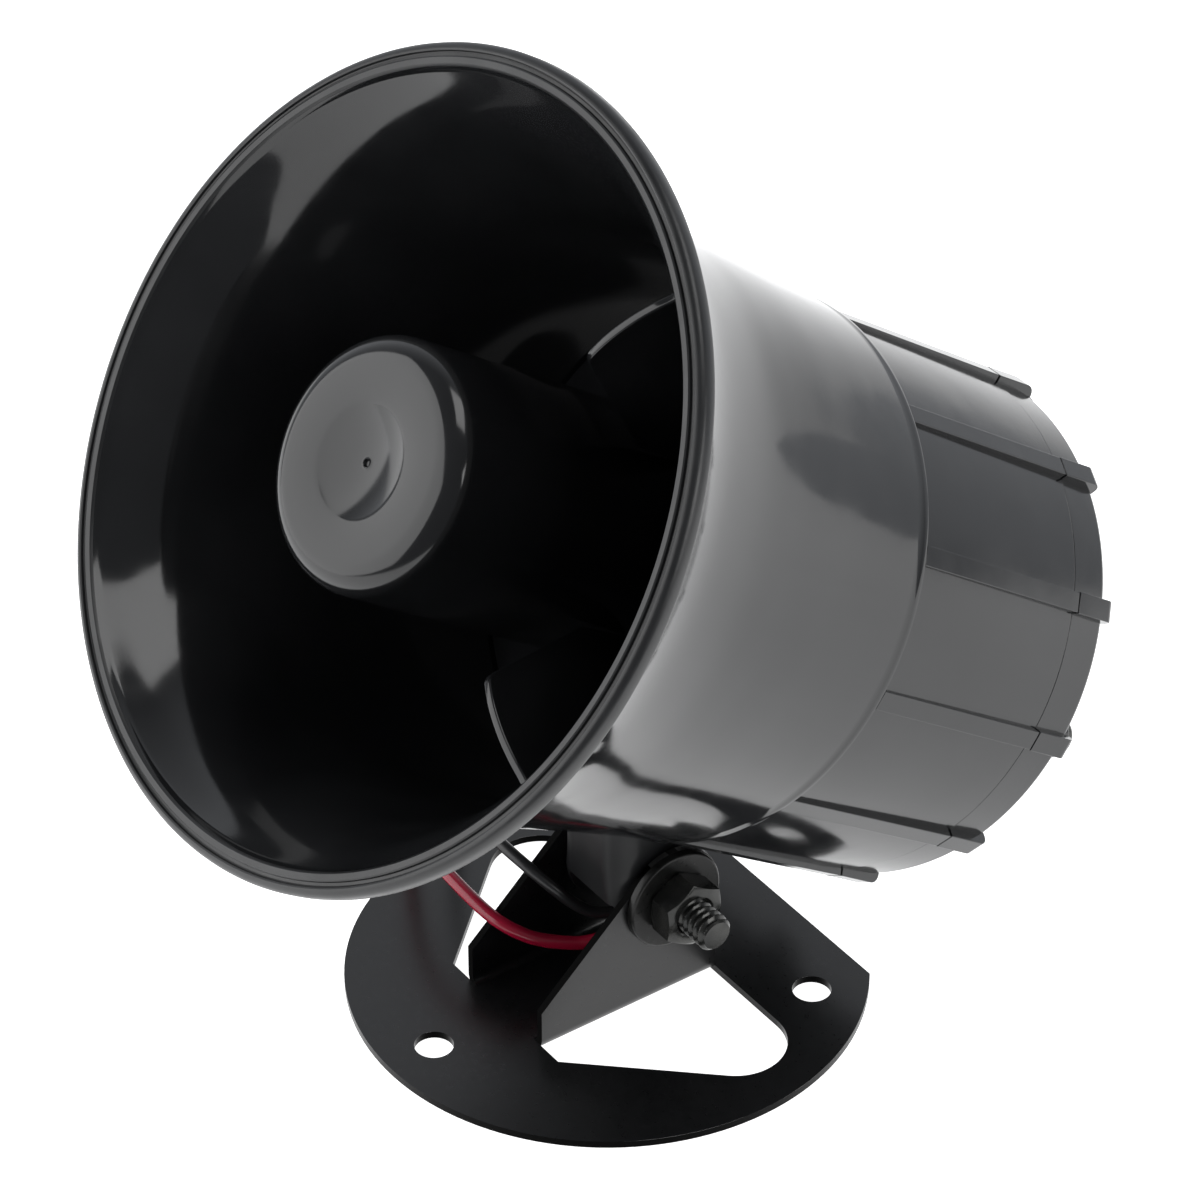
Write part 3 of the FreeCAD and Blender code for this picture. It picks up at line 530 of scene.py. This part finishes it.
add("vanes", joined("vanes", around(vane_mesh, VANE_ANGLES)), [gloss], "head",
    ["bell_vanes"], HORN, 30, True)

BULLET_FACE = -2.0
BULLET_ROUND = 3.4
BULLET_RADIUS = 15.4
BULLET_BACK = 38.0
DISH_RADIUS = 7.2
DISH_DEPTH = 1.4
PIP_EDGE = 0.75             # the dish starts at this radius, outside the gate mark


def bullet():
    """Bullet with a flat ring, a round shoulder, a spherical dish and a small gate mark."""
    dish = []
    radius = (DISH_RADIUS ** 2 + DISH_DEPTH ** 2) / (2 * DISH_DEPTH)
    for n in range(25):
        r = PIP_EDGE + (7.0 - PIP_EDGE) * n / 24
        dish.append((r, BULLET_FACE + DISH_DEPTH - radius + math.sqrt(radius ** 2 - r ** 2)))
    pip = [(0, 0.28), (0.3, 0.25), (0.42, 0.05), (0.5, -0.12), (0.62, -0.02)]
    pip = [(r, dish[0][1] + z - 0.02) for r, z in pip]
    edge = [(DISH_RADIUS, BULLET_FACE + 0.06), (DISH_RADIUS + 0.25, BULLET_FACE)]
    shoulder = [(BULLET_RADIUS - BULLET_ROUND, BULLET_FACE)]
    for n in range(1, 17):
        a = math.pi / 2 * n / 16
        shoulder.append((BULLET_RADIUS - BULLET_ROUND * (1 - math.sin(a)),
                         BULLET_FACE + BULLET_ROUND * (1 - math.cos(a))))
    back = [
        (BULLET_RADIUS, 37.6), (15.2, BULLET_BACK), (14.0, BULLET_BACK), (13.8, 37.8), (13.8, 6.0),
        (11.0, 2.0), (7.2, 2.0), (0, 2.0),
    ]
    return lathe(pip + dish + edge + shoulder + back, 160, closed=False)


add("tone_bullet", bullet(), [bullet_gloss], "head", ["tone_reflector"], HORN, 50)

tube_profile = [
    (8.1, 7.2), (8.5, 7.0), (9.1, 7.0), (9.4, 7.4), (9.7, 22.0), (10.0, 38.0), (10.0, 60.0), (6.5, 60.0),
    (6.8, 38.0),
]
add("sound_tube", lathe(tube_profile, 128), [gloss], "head", ["throat_tube"], HORN, 40)
floor_front = smooth([(11.7, 41.7), (12.6, 44.6), (15.0, 48.5), (22.0, 53.0), (32.6, 55.0)], 10)
floor_profile = [(10.02, 41.6), (11.3, 41.55)] + floor_front + [
    (32.6, 58.4), (27.8, 58.4), (27.8, 60.0), (21.8, 60.0), (21.8, 55.8), (19.5, 55.2), (13.4, 51.6),
    (12.0, 50.5), (12.0, 60.0), (10.02, 60.0),
]
stub = prism([(12.4, 46.0), (13.6, 38.05), (15.3, 38.05), (16.3, 50.6), (12.9, 49.6)], 2.0, 0.3)
parts = [(lathe(floor_profile, 128), IDENTITY)] + around(stub, STUB_ANGLES)
add("curved_floor", joined("curved_floor", parts), [gloss], "head",
    ["throat_floor"], HORN, 40)

# ---------------------------------------------------------------- body and cover
RIB_ANGLES = range(0, 360, 30)
SCREW_ANGLES = (0, 90, 180, 270)
SCREW_CIRCLE = 30.4
POST_ANGLES = (45, 165, 285)
POST_CIRCLE = 23.5
shell = rounded(
    [(28.0, 58.52), (34.3, 58.52), (33.5, 88.98), (31.2, 88.98), (31.2, 60.5), (28.0, 60.5)],
    [0, 0.1, 0.12, 0, 0, 0])
parts = [(lathe(shell, 256), IDENTITY)]
rib = rounded([(33.0, 58.55), (34.78, 58.55), (34.38, 88.98), (32.4, 88.98)], [0, 0.12, 0.1, 0])
rib_mesh = prism(rib, 2.5, 0.16)
parts += around(rib_mesh, RIB_ANGLES)
pillar_profile = [
    (1.4, 75.5), (1.4, 86.1), (1.7, 86.2), (2.9, 86.2), (3.0, 86.0), (3.0, 74.0), (0, 74.0), (0, 75.5),
]
pillar = lathe(pillar_profile, 32, closed=False)
parts += around(pillar, SCREW_ANGLES, SCREW_CIRCLE)
add("ribbed_body", joined("ribbed_body", parts), [housing_gloss], "head",
    (), HORN, 40, True)

# front, back, z and corner of the foot's sections above the hub
FOOT_NECK = [(-3.05, 11.0, 17.5, 3.5), (-3.15, 10.9, 19.2, 3.8), (-3.3, 10.8, 21.0, 4.1)]
FLARE = 2.6                 # how far the foot spreads over the body
FLARE_STEPS = 8
HUB_STEPS = 14
BODY_RADIUS = 34.1          # the body's surface where the foot meets it
BODY_FRONT = 59.2           # the flare stays behind this s
BODY_SUNK = 0.25            # and ends this far under the body's surface
CLIMB = 0.05                # step of the search for the body's surface


def foot():
    """Pivot foot: rounded block about the bolt, flaring where it meets the body."""
    half, radius = 6.8, 7.0
    count = 72

    def section(front, back, corner):
        """Rounded rectangle as (x, y) points, the same number for every section."""
        corner = min(corner, (back - front) / 2 * 0.96)
        cx, cy = half - corner, (back - front) / 2 - corner
        mid = (front + back) / 2
        points = []
        for k in range(count):
            a = 2 * math.pi * (k + 0.5) / count
            c, s = math.cos(a), math.sin(a)
            x = math.copysign(cx, c) + corner * c
            y = math.copysign(cy, s) + corner * s
            points.append((x, mid + y))
        return points

    bm = bmesh.new()
    rings = []
    for n in range(HUB_STEPS + 1):
        a = math.radians(84 - 84 * n / HUB_STEPS)
        reach = radius * math.cos(a)
        z = PIVOT.z - radius * math.sin(a)
        corner = 1.6 + 1.6 * n / HUB_STEPS
        rings.append([(x, y, z) for x, y in section(PIVOT.y - reach, PIVOT.y + reach, corner)])
    for front, back, z, corner in FOOT_NECK:
        rings.append([(x, y, z) for x, y in section(front, back, corner)])
    middle = (front + back) / 2
    inside = Vector((0, middle, 40))    # a point within the body, where the last ring closes in
    ups = []
    for x, y, z in rings[-1]:
        start = Vector((x, y, z))
        lean = Vector((0, -0.04 if y < 3 else 0.0, 1))
        m = 0
        d = start - RIM
        while math.hypot(d.x, d.dot(UPWARD)) > BODY_RADIUS:
            m += 1
            d = start + lean * (m * CLIMB) - RIM
        hit = start + lean * (m * CLIMB)
        d = hit + Vector((x, y - middle, 0)).normalized() * FLARE - RIM
        s = max(-d.dot(FORWARD), BODY_FRONT)
        v = Vector((d.x, 0, 0)) + UPWARD * d.dot(UPWARD)
        target = RIM - FORWARD * s + v.normalized() * (BODY_RADIUS - BODY_SUNK)
        low = hit - lean * FLARE
        ups.append((low if low.z > start.z else start, hit, target))
    for n in range(1, FLARE_STEPS + 1):
        t = n / FLARE_STEPS
        rings.append([tuple(a * (1 - t) ** 2 + b * 2 * t * (1 - t) + c * t ** 2) for a, b, c in ups])
    rings.append([tuple(c + (inside - c) * 0.25) for a, b, c in ups])
    verts = [[bm.verts.new(p) for p in ring] for ring in rings]
    for one, two in zip(verts, verts[1:]):
        for k in range(count):
            j = (k + 1) % count
            bm.faces.new((one[k], one[j], two[j], two[k]))
    bm.faces.new(list(reversed(verts[0])))
    bm.faces.new(verts[-1])
    return finished("foot", bm)


def cutter(mesh):
    """Object that lends a mesh to the boolean modifier."""
    obj = bpy.data.objects.new("cutter", mesh)
    bpy.context.collection.objects.link(obj)
    return obj


def carved(name, mesh, tools):
    """The mesh with other closed meshes cut out of it."""
    obj = cutter(mesh)
    others = [cutter(t) for t in tools]
    for other in others:
        mod = obj.modifiers.new("cut", "BOOLEAN")
        mod.operation = "DIFFERENCE"
        mod.solver = "EXACT"
        mod.object = other
    bpy.context.view_layer.update()
    result = bpy.data.meshes.new_from_object(obj.evaluated_get(bpy.context.evaluated_depsgraph_get()))
    result.name = name
    for other in others + [obj]:
        bpy.data.objects.remove(other)
    return result


def rod_x(radius, half):
    """Closed cylinder along X, centred on the pivot."""
    mesh = lathe([(0, -half), (radius, -half), (radius, half), (0, half)], 64, closed=False)
    mesh.transform(Matrix.Translation(PIVOT) @ Matrix.Rotation(math.pi / 2, 4, "Y"))
    return mesh


HOLLOW_START, HOLLOW_SWEEP = 186, 112   # degrees about the pivot, from the front downwards
HOLLOW_INNER, HOLLOW_OUTER = 4.1, 10
HOLLOW_WIDTH, HOLLOW_SHIFT = 9.1, 0.55
BOLT_HOLE = 2.5


def sweep_cut():
    """The leads' hollow, round the hub at the foot's front and underside."""
    outline = []
    for n in range(25):
        a = math.radians(HOLLOW_START + HOLLOW_SWEEP * n / 24)
        outline.append((PIVOT.y + HOLLOW_INNER * math.cos(a), PIVOT.z + HOLLOW_INNER * math.sin(a)))
    for n in range(25):
        a = math.radians(HOLLOW_START + HOLLOW_SWEEP - HOLLOW_SWEEP * n / 24)
        outline.append((PIVOT.y + HOLLOW_OUTER * math.cos(a), PIVOT.z + HOLLOW_OUTER * math.sin(a)))
    mesh = prism(outline, HOLLOW_WIDTH, 0)
    mesh.transform(Matrix.Translation((HOLLOW_SHIFT, 0, 0)) @ Matrix.Rotation(math.pi / 2, 4, "Z"))
    return mesh


foot_mesh = carved("foot", foot(), [rod_x(BOLT_HOLE, 20), sweep_cut()])
add("pivot_foot", foot_mesh, [foot_satin], "head", ["body_housing"], None, 32)

cover_profile = [
    (0, 95.8), (33.2, 95.8), (33.4, 89.1), (31.1, 89.1), (31.1, 86.6), (29.6, 86.6), (29.6, 93.8), (0, 93.8),
]
cover = rounded(cover_profile, [0, 1.0, 0.12, 0, 0.2, 0.2, 0, 0], closed=False)
parts = [(lathe(cover, 256, closed=False), IDENTITY)]
lug_profile = [(32.2, 89.1), (34.4, 89.1), (34.4, 96.3), (31.2, 96.3), (31.2, 94.2)]
lug = rounded(lug_profile, [0, 0.12, 1.3, 0.6, 0])
lug_mesh = prism(lug, 2.7, 0.75, 5)
parts += around(lug_mesh, RIB_ANGLES)
pad = lathe(rounded([(1.6, 94.6), (1.6, 96.3), (3.0, 96.3), (3.0, 94.6)], [0, 0.1, 0.3, 0]), 48)
post = lathe([(1.1, 83.65), (1.1, 93.9), (2.6, 93.9), (2.6, 83.9), (2.5, 83.65)], 32)
parts += around(pad, SCREW_ANGLES, SCREW_CIRCLE)
parts += around(post, POST_ANGLES, POST_CIRCLE)
add("back_cover", joined("back_cover", parts), [housing_gloss], "head",
    ["rear_cover"], HORN, 40, True)


def pan_head(radius, height, base, end, shank):
    """Pan-head screw along Z with a cross recess: its head sits on s = base and its point is at s = end."""
    edge, groove, recess_turn = 0.9, 0.3, 20
    profile = [(0, height)]
    for n in range(9):
        a = math.pi / 2 * n / 8
        profile.append((radius - edge + edge * math.sin(a), height - edge + edge * math.cos(a)))
    profile += [(radius, 0.0), (shank, 0.0)]
    length = abs(end - base)
    turns = int(length)     # ring grooves about 1 mm apart
    for n in range(turns):
        profile.append((shank, -(n + 0.15) * length / turns))
        profile.append((shank - groove, -(n + 0.55) * length / turns))
    profile += [(shank - groove, -length + 0.4), (0, -length)]
    head = lathe(profile, 48, closed=False)
    recess = [(-1.3, height + 0.5), (-0.55, height - 1.1), (0.55, height - 1.1), (1.3, height + 0.5)]
    tools = []
    for turn in (0, 90):
        slot = prism(recess, 0.62, 0)
        slot.transform(Matrix.Rotation(math.radians(turn + recess_turn), 4, "Z"))
        tools.append(slot)
    mesh = carved("screw", head, tools)
    mesh.transform(Matrix.Translation((0, 0, base)))
    return mesh


back_screw = pan_head(2.5, 1.8, 96.32, 77.2, 1.33)
parts = around(back_screw, SCREW_ANGLES, SCREW_CIRCLE)
add("back_screws", joined("back_screws", parts), [oxide], "head",
    ["rear_cover_screws"], HORN, 35)


# ---------------------------------------------------------------- pivot fasteners
FLATS = 8.0
BOLT_RADIUS = 2.42
THREAD_PITCH = 1.0
THREAD_DEPTH = 0.55
AXLE = Matrix.Translation(PIVOT) @ Matrix.Rotation(math.pi / 2, 4, "Y") @ Matrix.Rotation(math.pi / 2, 4, "Z")


def hexagonal(low, high, bore):
    """Chamfered hexagon along Z from low to high; bore 0 makes a solid bolt head."""
    count = 6 * 14
    face_r = FLATS / 2 * 0.96
    chamfer = 0.55          # height of the corner's chamfer over its width
    bm = bmesh.new()

    def radius(a):
        """Distance from the axis to the hexagon's side at this angle."""
        b = (a + math.pi / 6) % (math.pi / 3) - math.pi / 6
        return FLATS / 2 / math.cos(b)

    angles = [2 * math.pi * k / count for k in range(count)]
    levels = []
    if bore:
        levels.append([(bore, low + 0.35)] * count)
        levels.append([(bore + 0.35, low)] * count)
    else:
        levels.append([(0, low)] * count)
    levels.append([(face_r, low)] * count)
    levels.append([(radius(a), low + (radius(a) - face_r) * chamfer) for a in angles])
    levels.append([(radius(a), high - (radius(a) - face_r) * chamfer) for a in angles])
    levels.append([(face_r, high)] * count)
    if bore:
        levels.append([(bore + 0.4, high)] * count)
        levels.append([(bore, high - 0.4)] * count)
    else:
        levels.append([(face_r - 0.6, high)] * count)
        levels.append([(face_r - 1.1, high)] * count)
        levels.append([(0, high)] * count)
    rings = []
    for level in levels:
        if level[0][0] == 0:
            rings.append([bm.verts.new((0, 0, level[0][1]))] * count)
        else:
            rings.append([bm.verts.new((r * math.cos(a), r * math.sin(a), z))
                          for (r, z), a in zip(level, angles)])
    pairs = list(zip(rings, rings[1:]))
    if bore:
        pairs.append((rings[-1], rings[0]))
    for one, two in pairs:
        ring_faces(bm, one, two)
    return finished("hexagon", bm)


def threaded(low, high, start):
    """Bolt shank along Z: plain to start, then a helical thread, then a chamfered end."""
    count = 48
    step = THREAD_PITCH / 16
    bm = bmesh.new()
    rings = []
    levels = [low, start - 0.8]
    z = start - 0.6
    while z < high - 1e-6:
        levels.append(z)
        z += step
    levels.append(high)
    for z in levels:
        ring = []
        for k in range(count):
            a = 2 * math.pi * k / count
            phase = (z / THREAD_PITCH - k / count) % 1.0
            tooth = abs(phase * 2 - 1)
            cut = THREAD_DEPTH * min(1.0, max(0.0, (tooth - 0.12) / 0.76))
            blend = min(1.0, max(0.0, (z - start + 0.6) / 0.9))
            r = BOLT_RADIUS - cut * blend
            r = min(r, BOLT_RADIUS - 0.5 + max(0.0, high - z))
            ring.append(bm.verts.new((r * math.cos(a), r * math.sin(a), z)))
        rings.append(ring)
    for one, two in zip(rings, rings[1:]):
        for k in range(count):
            j = (k + 1) % count
            bm.faces.new((one[k], one[j], two[j], two[k]))
    bm.faces.new(list(reversed(rings[0])))
    bm.faces.new(rings[-1])
    return finished("thread", bm)


shank = threaded(-8.1, 17.86, 8.2)
bolt_head = hexagonal(-11.64, -8.14, 0)
add("bolt", joined("bolt", [(shank, IDENTITY), (bolt_head, IDENTITY)]), [oxide], "base",
    ["pivot_bolt"], AXLE, 40)
add("nut", hexagonal(9.34, 13.34, 2.43), [oxide], "base", ["pivot_nut"], AXLE, 32, True)
washer = rounded([(2.6, 8.16), (6.8, 8.16), (6.8, 9.34), (2.6, 9.34)], [0.1, 0.15, 0.35, 0.1], steps=4)
add("washer", lathe(washer, 96), [dull_oxide], "base", ["pivot_washer"], AXLE, 40, True)

# ---------------------------------------------------------------- carried-over CAD nodes
FINISH = {
    "base_bracket": paint, "rear_gasket": rubber, "cable_grommet": rubber, "driver_frame": frame_plastic,
    "driver_screws": zinc, "board_screws": zinc, "diaphragm": film, "voice_coil": copper,
    "front_plate": steel, "pole_yoke": steel, "magnet_ring": ferrite, "circuit_board": board_mat,
    "tone_chip": chip_mat, "power_transistor": chip_mat, "output_transformer": core_mat,
    "capacitors": sleeve, "resistors": lacquer, "driver_leads": pale_wire, "inner_leads": hidden_wire,
}
for name, mat in FINISH.items():
    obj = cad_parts[name]
    for item in obj.material_slots:
        item.material = mat


# ---------------------------------------------------------------- stage, light
def stage_floor():
    """Pale, slightly glowing floor just under the part; its edges shape the reflections on the horn."""
    mesh = bpy.data.meshes.new("floor")
    bm = bmesh.new()
    outline = [
        (-3.0, 3.0), (-3.0, -1.2), (-0.3, -0.42), (0.0, -0.3), (0.2, -0.12), (0.34, 0.1), (0.75, 0.45),
        (0.75, 0.6), (0.07, 0.6), (0.07, 3.0),
    ]
    for x, y in outline:
        bm.verts.new((x, y, -0.0002))
    bm.faces.new(list(bm.verts))
    bm.to_mesh(mesh)
    bm.free()
    obj = bpy.data.objects.new("floor", mesh)
    bpy.context.collection.objects.link(obj)
    mat, tree, shader = new_material("floor_white")
    clouds = tint(tree, noise(tree, 30, 3), (0.86, 0.86, 0.86), (0.9, 0.9, 0.9))
    tree.links.new(clouds, shader.inputs["Base Color"])
    shader.inputs["Roughness"].default_value = 0.9
    shader.inputs["Emission Color"].default_value = (1, 1, 1, 1)
    coord = tree.nodes.new("ShaderNodeTexCoord")
    reach = tree.nodes.new("ShaderNodeVectorMath")
    reach.operation = "LENGTH"
    tree.links.new(coord.outputs["Object"], reach.inputs[0])
    glow = spread(tree, reach.outputs["Value"], 1.06, 0.86, 0.35, 0.9)
    tree.links.new(glow, shader.inputs["Emission Strength"])
    mesh.materials.append(mat)


stage_floor()


def softbox(name, place, at, size, power, size_y=None):
    """Area light at a place, aimed at a point; sizes in metres, power in watts."""
    data = bpy.data.lights.new(name, "AREA")
    data.shape = "RECTANGLE" if size_y else "SQUARE"
    data.size = size
    if size_y:
        data.size_y = size_y
    data.energy = power
    obj = bpy.data.objects.new(name, data)
    obj.location = place
    obj.rotation_euler = (Vector(at) - Vector(place)).to_track_quat("-Z", "Y").to_euler()
    bpy.context.collection.objects.link(obj)


softbox("top", (0.2, 0.3, 1.1), (0, 0, 0.05), 0.55, 3.0)
softbox("right", (1.0, 0.45, 0.45), (0, 0, 0.07), 0.6, 4, 0.5)
softbox("front_left", (-0.42, -1.02, 0.42), (0, -0.05, 0.08), 1.7, 15.4, 1.3)


def studio_world():
    """White backdrop for the camera; everything else is lit by a soft gradient along one direction."""
    world = bpy.data.worlds.new("studio")
    bpy.context.scene.world = world
    world.use_nodes = True
    nodes, links = world.node_tree.nodes, world.node_tree.links
    background = nodes["Background"]
    background.inputs["Color"].default_value = (0.92, 0.95, 1.0, 1)
    coord = nodes.new("ShaderNodeTexCoord")
    facing = nodes.new("ShaderNodeVectorMath")
    facing.operation = "DOT_PRODUCT"
    facing.inputs[1].default_value = (-0.6, 0.7, -0.25)
    links.new(coord.outputs["Generated"], facing.inputs[0])
    fade = spread(world.node_tree, facing.outputs["Value"], 0.22, 0.82, 0.05, 0.5)
    links.new(fade, background.inputs["Strength"])
    seen = nodes.new("ShaderNodeBackground")
    seen.inputs["Color"].default_value = (1, 1, 1, 1)
    seen.inputs["Strength"].default_value = 1.1
    path = nodes.new("ShaderNodeLightPath")
    mix = nodes.new("ShaderNodeMixShader")
    links.new(path.outputs["Is Camera Ray"], mix.inputs["Fac"])
    links.new(background.outputs["Background"], mix.inputs[1])
    links.new(seen.outputs["Background"], mix.inputs[2])
    links.new(mix.outputs["Shader"], nodes["World Output"].inputs["Surface"])


studio_world()
bpy.context.scene.view_settings.view_transform = "Standard"
